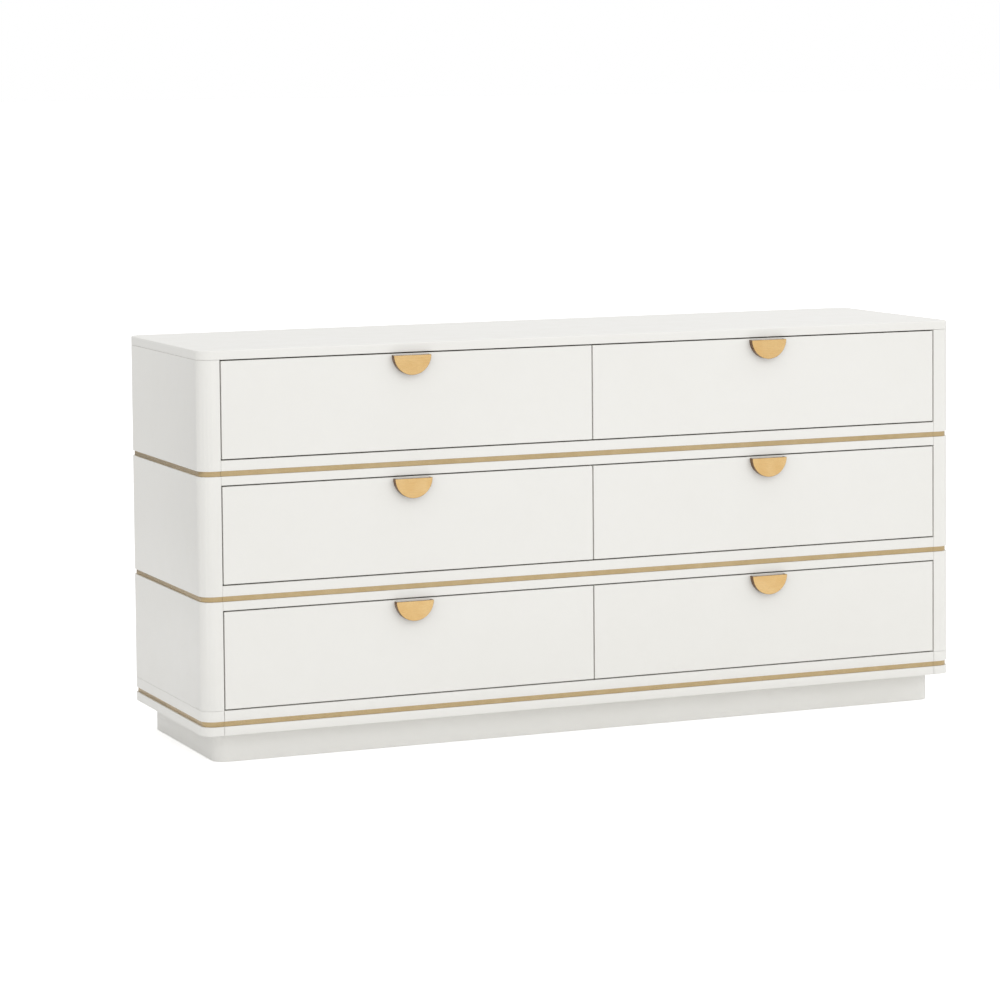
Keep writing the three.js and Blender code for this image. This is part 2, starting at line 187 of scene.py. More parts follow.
def noise(tree, vector, scale, detail=2, roughness=0.5):
    values = {"Vector": vector, "Scale": scale, "Detail": detail, "Roughness": roughness}
    return add(tree, "ShaderNodeTexNoise", values).outputs["Fac"]


def ranged(tree, value, low, high, to_low, to_high):
    """A value between low and high, moved to between to_low and to_high, and held there."""
    values = {0: value, 1: low, 2: high, 3: to_low, 4: to_high}
    return add(tree, "ShaderNodeMapRange", values, clamp=True).outputs[0]


def mixed(tree, factor, first, second):
    """One colour moved towards a second."""
    values = {0: factor, 6: first, 7: second}
    return add(tree, "ShaderNodeMix", values, data_type="RGBA").outputs[2]


def maths(tree, operation, first, second=0.0):
    return add(tree, "ShaderNodeMath", {0: first, 1: second}, operation=operation).outputs[0]


def plus(tree, first, second, weight):
    """The first value plus the second times a weight."""
    return maths(tree, "ADD", first, maths(tree, "MULTIPLY", second, weight))


def bump(tree, height, distance, strength=1.0, normal=None):
    values = {"Height": height, "Distance": distance, "Strength": strength}
    if normal is not None:
        values["Normal"] = normal
    return add(tree, "ShaderNodeBump", values).outputs["Normal"]


def give_out(group, out, color, roughness, normal):
    """Links a finish's three results to its group's output node."""
    for socket, value in (("Color", color), ("Roughness", roughness), ("Normal", normal)):
        group.links.new(value, out.inputs[socket])


# Scales are in patches to a metre, sizes and heights in metres.
FILM_DRIFT_SCALE = 2.3
FILM_CLOUD_SCALE = 21
FILM_RUB_SCALE = 60
FILM_PEEL_SCALE = 420
FILM_NIB_SCALE = 34
FILM_NIB_SIZE = 0.022
FILM_PEEL_DEPTH = 0.00006
FILM_NIB_HEIGHT = 0.00008
FILM_WEAR = 0.55
FILM_WORN_DULL = 0.12

# The look of a sprayed film: a slow drift of tone, faint cloudiness, a nib of dust here and there,
# orange peel, and a thinner, rubbed coat along the edges.
sprayed_film, film_in, film_out = node_group(
    "sprayed_film",
    ("Coat", "Color", LACQUER_WHITE),
    ("Drift", "Color", LACQUER_DRIFT),
    ("Thin", "Color", LACQUER_THIN),
    ("Gloss Low", "Float", 0.30),
    ("Gloss High", "Float", 0.40),
)
film_place = add(sprayed_film, "ShaderNodeTexCoord").outputs["Object"]
film_slow = noise(sprayed_film, film_place, FILM_DRIFT_SCALE, 3)
film_cloud = noise(sprayed_film, film_place, FILM_CLOUD_SCALE, 4, 0.6)
film_tone = ranged(sprayed_film, plus(sprayed_film, film_slow, film_cloud, 0.5), 0.55, 0.95, 0, 1)
film_color = mixed(sprayed_film, film_tone, film_in.outputs["Coat"], film_in.outputs["Drift"])
film_edge = add(sprayed_film, "ShaderNodeAttribute", attribute_name="edge").outputs["Fac"]
film_rub = noise(sprayed_film, film_place, FILM_RUB_SCALE, 4, 0.65)
film_worn = maths(
    sprayed_film, "MULTIPLY", film_edge, ranged(sprayed_film, film_rub, 0.46, 0.66, 0.1, 1)
)
film_color = mixed(
    sprayed_film, maths(sprayed_film, "MULTIPLY", film_worn, FILM_WEAR), film_color,
    film_in.outputs["Thin"],
)
film_gloss = ranged(
    sprayed_film, film_cloud, 0.3, 0.7, film_in.outputs["Gloss Low"], film_in.outputs["Gloss High"]
)
film_gloss = plus(sprayed_film, film_gloss, film_worn, FILM_WORN_DULL)
film_peel = noise(sprayed_film, film_place, FILM_PEEL_SCALE, 2, 0.4)
film_nibs = add(
    sprayed_film, "ShaderNodeTexVoronoi", {"Vector": film_place, "Scale": FILM_NIB_SCALE}
).outputs["Distance"]
film_nibs = ranged(sprayed_film, film_nibs, 0, FILM_NIB_SIZE, 1, 0)
film_normal = bump(sprayed_film, film_peel, FILM_PEEL_DEPTH, 0.35)
film_normal = bump(sprayed_film, film_nibs, FILM_NIB_HEIGHT, 0.25, film_normal)
give_out(sprayed_film, film_out, film_color, film_gloss, film_normal)


def new_material(name):
    """A material, its tree and its Principled BSDF."""
    material = bpy.data.materials.new(name)
    material.use_nodes = True
    return material, material.node_tree, material.node_tree.nodes["Principled BSDF"]


def place_group(tree, group, values=()):
    """A group's node in a material's tree, with its own values on the group's sockets."""
    node = add(tree, "ShaderNodeGroup", node_tree=group)
    for key, value in dict(values).items():
        node.inputs[key].default_value = value
    return node


def link_finish(tree, source, shader):
    """Links a finish group's results to a Principled BSDF."""
    tree.links.new(source.outputs["Color"], shader.inputs["Base Color"])
    for socket in ("Roughness", "Normal"):
        tree.links.new(source.outputs[socket], shader.inputs[socket])


lacquer, lacquer_tree, lacquer_shader = new_material("white_satin_lacquer")
lacquer_shader.inputs["IOR"].default_value = LACQUER_IOR
link_finish(lacquer_tree, place_group(lacquer_tree, sprayed_film), lacquer_shader)

plinth_low, plinth_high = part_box("plinth")
plinth = block("plinth_boards", plinth_low, plinth_high)
round_edges(plinth, upright, PLINTH_CORNER, CORNER_STEPS)
for side in (-1, 1):
    bay_ends = sorted((side * PLINTH_BOARD / 2, side * (plinth_high.x - PLINTH_BOARD)))
    cut_block(
        plinth,
        (bay_ends[0], plinth_low.y + PLINTH_BOARD, plinth_low.z - PLINTH_BOARD),
        (bay_ends[1], plinth_high.y - PLINTH_BOARD, plinth_high.z + PLINTH_BOARD),
    )
ease(plinth, ARRIS)
fit_piece(plinth, "carcass", lacquer, "white_lacquer", "plinth")


# ---- Base slab ----------------------------------------------------------------------------------
# The bottom of the case: a deck on a deep apron that overhangs the plinth all round. It is glued
# up, its corners turned to a one-inch radius, and a groove for the lowest brass strip is routed
# round all but the back. A fine line marks where each corner block meets the front.
CASE_CORNER = 0.0254
APRON = 0.060
DECK = 0.018
GROOVE_DEPTH = 0.0062
GROOVE_MARGIN = 0.0002  # from a strip's edge to the groove's
GROOVE_PAST = 0.0004  # how far the groove runs on past the back corner
SEAM_WIDTH = 0.0011
SEAM_DEPTH = 0.0025
SPARE = 0.02  # how far a cutter passes what it cuts

base_low, base_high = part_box("base_frame")
side_low, side_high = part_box("side_panel_right")
post_inner = side_low.x
bend_x = base_high.x - CASE_CORNER
front_bend_y, back_bend_y = base_low.y + CASE_CORNER, base_high.y - CASE_CORNER


def copied(ob, name, offset=(0, 0, 0), turned_over=False):
    """A copy with its own mesh, moved, or mirrored across the middle of the case first."""
    twin = ob.copy()
    twin.data = ob.data.copy()
    twin.name = twin.data.name = name
    bpy.context.scene.collection.objects.link(twin)
    if turned_over:
        twin.data.transform(Matrix.Diagonal((-1, 1, 1, 1)))
        twin.data.flip_normals()
    twin.data.transform(Matrix.Translation(offset))
    return twin


def select_faces(ob, chosen):
    """Enters edit mode with only the faces selected that pass chosen(centre, normal)."""
    activate(ob)
    bpy.ops.object.mode_set(mode="EDIT")
    bpy.ops.mesh.select_mode(type="FACE")
    bpy.ops.mesh.select_all(action="DESELECT")
    bm = bmesh.from_edit_mesh(ob.data)
    for face in bm.faces:
        if chosen(face.calc_center_median(), face.normal):
            face.select_set(True)
    bmesh.update_edit_mesh(ob.data)


def wrapped(name, x_start, y_face, y_deep, z_low, z_high, last_turn):
    """A strip along the front, round a corner, along the right side and round the next corner."""
    ob = block(name, (x_start, y_face, z_low), (bend_x, y_deep, z_high))
    select_faces(ob, lambda c, n: n.x > 0.9)
    bpy.ops.mesh.spin(
        steps=CORNER_STEPS, angle=math.pi / 2, center=(bend_x, front_bend_y, 0), axis=(0, 0, -1)
    )
    bpy.ops.mesh.extrude_region_move(
        TRANSFORM_OT_translate={"value": (0, back_bend_y - front_bend_y, 0)}
    )
    bpy.ops.mesh.spin(
        steps=CORNER_STEPS, angle=last_turn, center=(bend_x, back_bend_y, 0), axis=(0, 0, -1)
    )
    bpy.ops.mesh.select_all(action="SELECT")
    bpy.ops.mesh.remove_doubles(threshold=NEAR)
    bpy.ops.mesh.normals_make_consistent(inside=False)
    bpy.ops.object.mode_set(mode="OBJECT")
    return ob


def groove_cutters(band_node, *halves):
    """The space of a strip's groove in the right or the left half of the case, 1 or -1."""
    band_low, band_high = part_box(band_node)
    right = wrapped(
        "groove", -GROOVE_PAST, base_low.y - SPARE, base_low.y + GROOVE_DEPTH,
        band_low.z - GROOVE_MARGIN, band_high.z + GROOVE_MARGIN,
        math.pi / 2 + GROOVE_PAST / CASE_CORNER,
    )
    cutters = [copied(right, "groove", turned_over=half < 0) for half in halves]
    bpy.data.objects.remove(right, do_unlink=True)
    return cutters


base = block("base_slab", base_low, base_high)
round_edges(base, upright, CASE_CORNER, CORNER_STEPS)
cut_block(
    base,
    (base_low.x + APRON, base_low.y + APRON, base_low.z - SPARE),
    (base_high.x - APRON, base_high.y - APRON, base_high.z - DECK),
)
for cutter in groove_cutters("lower_band", 1, -1):
    cut(base, cutter)
ease(base, ARRIS)
for side in (-1, 1):
    cut_block(
        base,
        (side * post_inner - SEAM_WIDTH / 2, base_low.y - SPARE, base_low.z - SPARE),
        (side * post_inner + SEAM_WIDTH / 2, base_low.y + SEAM_DEPTH, base_high.z + SPARE),
    )
fit_piece(base, "carcass", lacquer, "white_lacquer", "base_frame")


# ---- Sides --------------------------------------------------------------------------------------
# Each side is a board with a thick post glued to its front and back edges, both turned to the same
# one-inch radius, so that the lacquer runs round the corners without a joint. Two grooves for brass
# strips run round it, and the back post is rebated for the back board.
SIDE_BOARD = 0.018
POST_DEPTH = 0.045
REBATE_WIDTH = 0.009
BACK_BOARD = 0.006
JOINT_GAP = 0.0003

side_inside = side_high.x - SIDE_BOARD
side_board = block("side_right", side_low, side_high)
round_edges(
    side_board,
    lambda a, b: upright(a, b) and a.x > side_high.x - NEAR,
    CASE_CORNER,
    CORNER_STEPS,
)
cut_block(
    side_board,
    (post_inner - SPARE, side_low.y + POST_DEPTH, side_low.z - SPARE),
    (side_inside, side_high.y - POST_DEPTH, side_high.z + SPARE),
)
cut_block(
    side_board,
    (post_inner - SPARE, side_high.y - BACK_BOARD - JOINT_GAP, side_low.z - SPARE),
    (post_inner + REBATE_WIDTH, side_high.y + SPARE, side_high.z + SPARE),
)
for band_node in ("upper_band", "middle_band"):
    for cutter in groove_cutters(band_node, 1):
        cut(side_board, cutter)
ease(side_board, ARRIS)
fit_piece(
    copied(side_board, "side_left", turned_over=True),
    "carcass", lacquer, "white_lacquer", "side_panel_left",
)
fit_piece(side_board, "carcass", lacquer, "white_lacquer", "side_panel_right")


# ---- Cleats -------------------------------------------------------------------------------------
# Between the posts of each side a strip of planed poplar is glued and screwed to the board at every
# drawer's height, flush with the posts, to carry the outer drawer runner.
ROWS = ("top", "middle", "bottom")
CLEAT_HEIGHT = 0.060
CLEAT_ARRIS = 0.0012

POPLAR_PALE = (0.66, 0.52, 0.335, 1)
POPLAR_DARK = (0.50, 0.365, 0.205, 1)

TIMBER_STRETCH = (0.09, 1, 1)
PORE_STRETCH = (0.03, 1, 1)
TIMBER_DRIFT_SCALE = 9
TIMBER_RING_SCALE = 34
TIMBER_PORE_SCALE = 900
TIMBER_NAP = 0.00008
PORE_DULL = 0.15

# Planed timber, with the grain running along X of the vector that it is given: growth rings that
# wander, long pores, a broad drift of colour, and a fine nap.
timber_grain, timber_in, timber_out = node_group(
    "timber_grain",
    ("Vector", "Vector", None),
    ("Pale", "Color", POPLAR_PALE),
    ("Dark", "Color", POPLAR_DARK),
    ("Gloss", "Float", 0.5),
)
timber_vector = timber_in.outputs["Vector"]
timber_along, timber_long = (
    add(timber_grain, "ShaderNodeMapping", {"Vector": timber_vector, "Scale": stretch}).outputs[0]
    for stretch in (TIMBER_STRETCH, PORE_STRETCH)
)
timber_drift = noise(timber_grain, timber_along, TIMBER_DRIFT_SCALE, 3)
timber_wave = add(
    timber_grain,
    "ShaderNodeTexWave",
    {
        "Vector": timber_along,
        "Scale": TIMBER_RING_SCALE,
        "Distortion": 7,
        "Detail": 3,
        "Detail Scale": 1.4,
    },
    bands_direction="DIAGONAL",
).outputs["Fac"]
timber_pores = noise(timber_grain, timber_long, TIMBER_PORE_SCALE, 3, 0.6)
timber_pores = ranged(timber_grain, timber_pores, 0.5, 0.72, 0, 1)
timber_tone = maths(timber_grain, "MULTIPLY", timber_wave, 0.42)
timber_tone = plus(timber_grain, timber_tone, timber_drift, 0.45)
timber_tone = plus(timber_grain, timber_tone, timber_pores, 0.28)
timber_color = mixed(
    timber_grain, timber_tone, timber_in.outputs["Pale"], timber_in.outputs["Dark"]
)
timber_dull = ranged(timber_grain, timber_pores, 0, 1, 0, PORE_DULL)
timber_gloss = maths(timber_grain, "ADD", timber_in.outputs["Gloss"], timber_dull)
timber_relief = maths(
    timber_grain, "SUBTRACT", maths(timber_grain, "MULTIPLY", timber_wave, 0.3), timber_pores
)
timber_normal = bump(timber_grain, timber_relief, TIMBER_NAP, 0.5)
give_out(timber_grain, timber_out, timber_color, timber_gloss, timber_normal)


def timber(name, turn, centre=(0, 0, 0), **values):
    """A timber material whose grain runs along X turned by the given angles."""
    material, tree, shader = new_material(name)
    place = add(tree, "ShaderNodeTexCoord").outputs["Object"]
    placed = {"Vector": place, "Location": centre, "Rotation": turn}
    turned = add(tree, "ShaderNodeMapping", placed)
    grain = place_group(tree, timber_grain, values)
    tree.links.new(turned.outputs[0], grain.inputs["Vector"])
    link_finish(tree, grain, shader)
    return material


ALONG_Y = (0.04, 0.03, math.pi / 2 + 0.02)  # a few degrees off true, as sawn timber is
ALONG_X = (0.03, 0.02, 0.015)

poplar = timber("planed_poplar", ALONG_Y)
for row in ROWS:
    runner_low, runner_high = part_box(f"runner_{row}_right_outer")
    cleat_middle = (runner_low.z + runner_high.z) / 2
    cleat = block(
        f"cleat_{row}_right",
        (post_inner, side_low.y + POST_DEPTH + JOINT_GAP, cleat_middle - CLEAT_HEIGHT / 2),
        (
            side_inside - JOINT_GAP,
            side_high.y - POST_DEPTH - JOINT_GAP,
            cleat_middle + CLEAT_HEIGHT / 2,
        ),
    )
    ease(cleat, CLEAT_ARRIS)
    fit_piece(
        copied(cleat, f"cleat_{row}_left", turned_over=True), "carcass", poplar, "drawer_box_wood"
    )
    fit_piece(cleat, "carcass", poplar, "drawer_box_wood")


# ---- Rails --------------------------------------------------------------------------------------
# Two solid rails run between the posts, one under each of the upper rows of drawers. Their ends
# butt against the posts with a hairline joint, and the strip's groove runs across their faces.
for rail_node, band_node, rail_name in (
    ("upper_rail", "upper_band", "rail_upper"),
    ("lower_rail", "middle_band", "rail_lower"),
):
    rail = block(rail_name, *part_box(rail_node))
    band_low, band_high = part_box(band_node)
    cut_block(
        rail,
        (-base_high.x, base_low.y - SPARE, band_low.z - GROOVE_MARGIN),
        (base_high.x, base_low.y + GROOVE_DEPTH, band_high.z + GROOVE_MARGIN),
    )
    ease(rail, ARRIS)
    fit_piece(rail, "carcass", lacquer, "white_lacquer", rail_node)


# ---- Divider and back board ---------------------------------------------------------------------
# The divider stands behind the drawer fronts and is halved over the rails. The back is a thin
# painted board let into the side rebates and held by a row of countersunk screws along each edge
# and up the divider.
SCREW_HEAD = 0.0036  # radius
SCREW_DEPTH = 0.0022
SCREW_SIDES = 24
SCREW_NECK = 0.45  # radius under the head, as a part of the head's
SCREW_ARRIS = 0.00008
SCREW_SUNK = 0.0003
SINK_PLAY = 0.0002
SINK_DEPTH = 0.002
RECESS_DEPTH = 0.0012
RECESS_LONG = 0.0017  # half the cross's length
RECESS_SLIM = 0.0003  # half its stroke
SCREW_PITCH = 0.19
SCREW_INSET = 0.0045

PAINT = (0.80, 0.79, 0.755, 1)
PAINT_DRIFT = (0.765, 0.755, 0.715, 1)
PAINT_SMOOTH, PAINT_ROUGH = 0.55, 0.68
BACK_ARRIS = 0.0003

divider_low, divider_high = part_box("center_divider")
divider = block("divider_board", divider_low, divider_high)
for rail_node in ("upper_rail", "lower_rail"):
    rail_low, rail_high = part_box(rail_node)
    halving = Vector((JOINT_GAP,) * 3)
    cut_block(divider, rail_low - halving, rail_high + halving)
ease(divider, ARRIS)
fit_piece(divider, "carcass", lacquer, "white_lacquer", "center_divider")

paint, paint_tree, paint_shader = new_material("back_board_paint")
paint_finish = place_group(
    paint_tree,
    sprayed_film,
    {"Coat": PAINT, "Drift": PAINT_DRIFT, "Gloss Low": PAINT_SMOOTH, "Gloss High": PAINT_ROUGH},
)
link_finish(paint_tree, paint_finish, paint_shader)

back_low, back_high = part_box("back_panel")
back = block("back_board", back_low, back_high)


def evenly(low, high, pitch):
    """Places from low to high, as near to the pitch apart as a whole number allows."""
    steps = max(1, round((high - low) / pitch))
    return [low + (high - low) * n / steps for n in range(steps + 1)]


back_screws = set()
for x in evenly(back_low.x + SCREW_INSET, back_high.x - SCREW_INSET, SCREW_PITCH):
    for z in (back_low.z + SCREW_INSET, back_high.z - SCREW_INSET):
        back_screws.add((round(x, 5), round(z, 5)))
for z in evenly(back_low.z + SCREW_INSET, back_high.z - SCREW_INSET, SCREW_PITCH)[1:-1]:
    for x in (back_low.x + SCREW_INSET, 0, back_high.x - SCREW_INSET):
        back_screws.add((round(x, 5), round(z, 5)))

# A countersunk head, modelled once, facing +Y: a short turned cone with a cross recess.
bpy.ops.object.select_all(action="DESELECT")
bpy.ops.mesh.primitive_cone_add(
    vertices=SCREW_SIDES, radius1=SCREW_HEAD * SCREW_NECK, radius2=SCREW_HEAD, depth=SCREW_DEPTH,
    rotation=(-math.pi / 2, 0, 0),
)
bpy.ops.object.transform_apply(location=True, rotation=True, scale=True)
screw_head = bpy.context.object
screw_head.data.transform(Matrix.Translation((0, -SCREW_DEPTH / 2, 0)))
for wide, tall in ((RECESS_LONG, RECESS_SLIM), (RECESS_SLIM, RECESS_LONG)):
    cut_block(screw_head, (-wide, -RECESS_DEPTH, -tall), (wide, SPARE, tall))
ease(screw_head, SCREW_ARRIS, 2)

ZINC_BRIGHT = (0.62, 0.63, 0.65, 1)
ZINC_DULL = (0.47, 0.48, 0.50, 1)
ZINC_CRYSTAL_SCALE = 160
ZINC_LINE_SCALE = 1900
ZINC_LINE_STRETCH = (1, 0.02, 1)
ZINC_LINE_DEPTH = 0.00002

# Bright zinc plate over steel: a crystalline patchwork and fine drawn lines.
zinc_plate, zinc_in, zinc_out = node_group(
    "zinc_plate",
    ("Bright", "Color", ZINC_BRIGHT),
    ("Dull", "Color", ZINC_DULL),
)
zinc_place = add(zinc_plate, "ShaderNodeTexCoord").outputs["Object"]
zinc_cells = add(
    zinc_plate, "ShaderNodeTexVoronoi", {"Vector": zinc_place, "Scale": ZINC_CRYSTAL_SCALE}
).outputs["Color"]
zinc_patch = add(zinc_plate, "ShaderNodeSeparateColor", {0: zinc_cells}).outputs[0]
zinc_drawn = add(
    zinc_plate, "ShaderNodeMapping", {"Vector": zinc_place, "Scale": ZINC_LINE_STRETCH}
).outputs[0]
zinc_lines = noise(zinc_plate, zinc_drawn, ZINC_LINE_SCALE, 2)
zinc_tone = plus(zinc_plate, maths(zinc_plate, "MULTIPLY", zinc_patch, 0.55), zinc_lines, 0.45)
zinc_color = mixed(zinc_plate, zinc_tone, zinc_in.outputs["Bright"], zinc_in.outputs["Dull"])
zinc_gloss = ranged(zinc_plate, zinc_tone, 0.2, 0.8, 0.26, 0.44)
zinc_normal = bump(zinc_plate, zinc_lines, ZINC_LINE_DEPTH, 0.4)
give_out(zinc_plate, zinc_out, zinc_color, zinc_gloss, zinc_normal)

zinc, zinc_tree, zinc_shader = new_material("zinc_plated_steel")
zinc_shader.inputs["Metallic"].default_value = 1
link_finish(zinc_tree, place_group(zinc_tree, zinc_plate), zinc_shader)


def turned_rod(radius, y_low, y_high, x, z, vertices):
    """A rod that runs from front to back."""
    bpy.ops.object.select_all(action="DESELECT")
    bpy.ops.mesh.primitive_cylinder_add(
        vertices=vertices, radius=radius, depth=y_high - y_low,
        location=(x, (y_low + y_high) / 2, z), rotation=(math.pi / 2, 0, 0),
    )
    bpy.ops.object.transform_apply(location=True, rotation=True, scale=True)
    return bpy.context.object


def joined(parts, name):
    """Several pieces made into one object."""
    bpy.ops.object.select_all(action="DESELECT")
    for part in parts:
        part.select_set(True)
    bpy.context.view_layer.objects.active = parts[0]
    bpy.ops.object.join()
    parts[0].name = parts[0].data.name = name
    return parts[0]


sinks = []
heads = []
for x, z in sorted(back_screws):
    sinks.append(
        turned_rod(
            SCREW_HEAD + SINK_PLAY, back_high.y - SINK_DEPTH, back_high.y + SINK_DEPTH, x, z,
            SCREW_SIDES,
        )
    )
    heads.append(copied(screw_head, "head", (x, back_high.y - SCREW_SUNK, z)))
bpy.data.objects.remove(screw_head, do_unlink=True)
cut(back, joined(sinks, "sinks"))
ease(back, BACK_ARRIS)
fit_piece(back, "carcass", paint, "white_lacquer", "back_panel")
fit_piece(joined(heads, "back_board_screws"), "carcass", zinc, "zinc_steel")


# ---- Top ----------------------------------------------------------------------------------------
# One slab laid over the whole case and fixed from below. It follows the case's outline, its upper
# edge is rounded over by hand, and it meets the case in a hairline joint.
TOP_EDGE = 0.0025

top_low, top_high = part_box("top_panel")
top = block("top_slab", top_low, top_high)
round_edges(top, upright, CASE_CORNER, CORNER_STEPS)
round_edges(top, lambda a, b: min(a.z, b.z) > top_high.z - NEAR, TOP_EDGE, 6)
ease(top, ARRIS)
fit_piece(top, "carcass", lacquer, "white_lacquer", "top_panel")


# ---- Brass strips -------------------------------------------------------------------------------
# Flat brass strip, brushed along its length and clear lacquered, pressed into the grooves. Each
# band is three lengths: one across the front, and one bent round the two corners of each side.
# They butt together at the line where the rails meet the posts.
STRIP_ARRIS = 0.0003
BUTT_GAP = 0.0002
STRIP_BRUSHED = 0.4
STRIP_GLOSS = 0.25  # roughness
BRASS_BRIGHT = (0.60, 0.46, 0.265, 1)
BRASS_DEEP = (0.52, 0.385, 0.20, 1)
BRASS_TARNISH = (0.34, 0.235, 0.12, 1)

BRUSH_STRETCH = (0.02, 0.02, 1)
BRUSH_FINE_SCALE = 2600
BRUSH_BROAD_SCALE = 420
BRUSH_STAIN_SCALE = 38
BRUSH_DEPTH = 0.00003

# Brushed and clear-coated brass: hair-fine lines that run level, broad stains of warmth, and a
# darker film along the edges.
brushed_metal, brushed_in, brushed_out = node_group(
    "brushed_metal",
    ("Bright", "Color", BRASS_BRIGHT),
    ("Deep", "Color", BRASS_DEEP),
    ("Tarnish", "Color", BRASS_TARNISH),
    ("Gloss", "Float", 0.30),
)
brushed_place = add(brushed_metal, "ShaderNodeTexCoord").outputs["Object"]
brushed_along = add(
    brushed_metal, "ShaderNodeMapping", {"Vector": brushed_place, "Scale": BRUSH_STRETCH}
).outputs[0]
brushed_fine = noise(brushed_metal, brushed_along, BRUSH_FINE_SCALE, 3, 0.6)
brushed_broad = noise(brushed_metal, brushed_along, BRUSH_BROAD_SCALE, 2)
brushed_stain = noise(brushed_metal, brushed_place, BRUSH_STAIN_SCALE, 3)
brushed_tone = maths(brushed_metal, "MULTIPLY", brushed_fine, 0.5)
brushed_tone = plus(brushed_metal, brushed_tone, brushed_stain, 0.5)
brushed_tone = ranged(brushed_metal, brushed_tone, 0.35, 0.65, 0, 1)
brushed_color = mixed(
    brushed_metal, brushed_tone, brushed_in.outputs["Bright"], brushed_in.outputs["Deep"]
)
brushed_edge = add(brushed_metal, "ShaderNodeAttribute", attribute_name="edge").outputs["Fac"]
brushed_film = maths(
    brushed_metal, "MULTIPLY", brushed_edge,
    ranged(brushed_metal, brushed_stain, 0.4, 0.65, 0.1, 0.5),
)
brushed_color = mixed(brushed_metal, brushed_film, brushed_color, brushed_in.outputs["Tarnish"])
brushed_dull = ranged(brushed_metal, brushed_broad, 0.3, 0.7, -0.04, 0.08)
brushed_gloss = maths(brushed_metal, "ADD", brushed_in.outputs["Gloss"], brushed_dull)
brushed_height = plus(brushed_metal, brushed_fine, brushed_broad, 0.6)
brushed_normal = bump(brushed_metal, brushed_height, BRUSH_DEPTH, 0.5)
give_out(brushed_metal, brushed_out, brushed_color, brushed_gloss, brushed_normal)

strip_brass, strip_tree, strip_shader = new_material("brushed_brass_strip")
strip_shader.inputs["Metallic"].default_value = 1
strip_shader.inputs["Anisotropic"].default_value = STRIP_BRUSHED
strip_finish = place_group(strip_tree, brushed_metal, {"Gloss": STRIP_GLOSS})
link_finish(strip_tree, strip_finish, strip_shader)

for level in ("upper", "middle", "lower"):
    strip_low, strip_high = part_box(f"{level}_band")
    strip_face = strip_low.y
    strip_thick = GROOVE_DEPTH - (strip_face - base_low.y) - GROOVE_MARGIN
    front_strip = block(
        f"band_{level}_front",
        (-post_inner + BUTT_GAP / 2, strip_face, strip_low.z),
        (post_inner - BUTT_GAP / 2, strip_face + strip_thick, strip_high.z),
    )
    ease(front_strip, STRIP_ARRIS)
    fit_piece(front_strip, "carcass", strip_brass, "brushed_brass", f"{level}_band")

    side_strip = wrapped(
        f"band_{level}_right", post_inner + BUTT_GAP / 2, strip_face, strip_face + strip_thick,
        strip_low.z, strip_high.z, math.pi / 2 - BUTT_GAP / CASE_CORNER,
    )
    ease(side_strip, STRIP_ARRIS)
    fit_piece(
        copied(side_strip, f"band_{level}_left", turned_over=True),
        "carcass", strip_brass, "brushed_brass",
    )
    fit_piece(side_strip, "carcass", strip_brass, "brushed_brass")


# ---- Runners ------------------------------------------------------------------------------------
# Each drawer hangs on two side-mounted slides, roll-formed from zinc-plated steel strip. The fixed
# channels are screwed to the divider and to the cleats, and caged steel balls sit in their edges.
COLUMNS = ("left", "right")
DRAWERS = [f"drawer_{row}_{column}" for row in ROWS for column in COLUMNS]
SLIDE_SIDES = ("inner", "outer")
PAN_HEAD = 0.0032  # radius
PAN_HEIGHT = 0.0012
PAN_ROUND = 0.6  # how much of its height is domed
PAN_RECESS_FLOOR = 0.35  # of its height
PAN_RECESS_LONG = 0.0016  # half the cross's length
PAN_RECESS_SLIM = 0.00028  # half its stroke
RUNNER_GAUGE = 0.0015
RUNNER_GAP = 0.0003
RUNNER_SCREWS = (0.035, 0.165, 0.31)  # from the front end of a slide
BALL = 0.0024
BALL_PITCH = 0.012
BALL_COUNT = 9
BALL_LEVEL = 0.018  # above and below the middle of the slide
BALL_DEPTH = 0.0055  # from the face the fixed channel is screwed to
CAGE_START = 0.045
CAGE_THICKNESS = 0.0006
CAGE_WIDTH = 0.0042
CAGE_ARRIS = 0.0001

# A pan-head screw, modelled once, facing +X: a low turned dome with a cross recess.
bpy.ops.object.select_all(action="DESELECT")
bpy.ops.mesh.primitive_cylinder_add(
    vertices=SCREW_SIDES, radius=PAN_HEAD, depth=PAN_HEIGHT, rotation=(0, math.pi / 2, 0)
)
bpy.ops.object.transform_apply(location=True, rotation=True, scale=True)
pan_screw = bpy.context.object
pan_screw.data.transform(Matrix.Translation((PAN_HEIGHT / 2, 0, 0)))
round_edges(
    pan_screw, lambda a, b: min(a.x, b.x) > PAN_HEIGHT - NEAR, PAN_HEIGHT * PAN_ROUND, 4
)
for wide, tall in ((PAN_RECESS_LONG, PAN_RECESS_SLIM), (PAN_RECESS_SLIM, PAN_RECESS_LONG)):
    cut_block(
        pan_screw,
        (PAN_HEIGHT * PAN_RECESS_FLOOR, -wide, -tall),
        (PAN_HEIGHT + SPARE, wide, tall),
    )
ease(pan_screw, 0)


def driven(x, y, z, turn):
    """A pan-head screw with its seat at a place, turned about the vertical from facing +X."""
    screw = copied(pan_screw, "screw")
    screw.data.transform(Matrix.Translation((x, y, z)) @ Matrix.Rotation(turn, 4, "Z"))
    return screw


def plate(node):
    """Gives a piece that keeps its shape from the frame the zinc finish."""
    for slot in node.material_slots:
        slot.material = zinc


bpy.ops.object.select_all(action="DESELECT")
bpy.ops.mesh.primitive_ico_sphere_add(subdivisions=2, radius=BALL)
bpy.ops.object.shade_smooth()
steel_ball = bpy.context.object

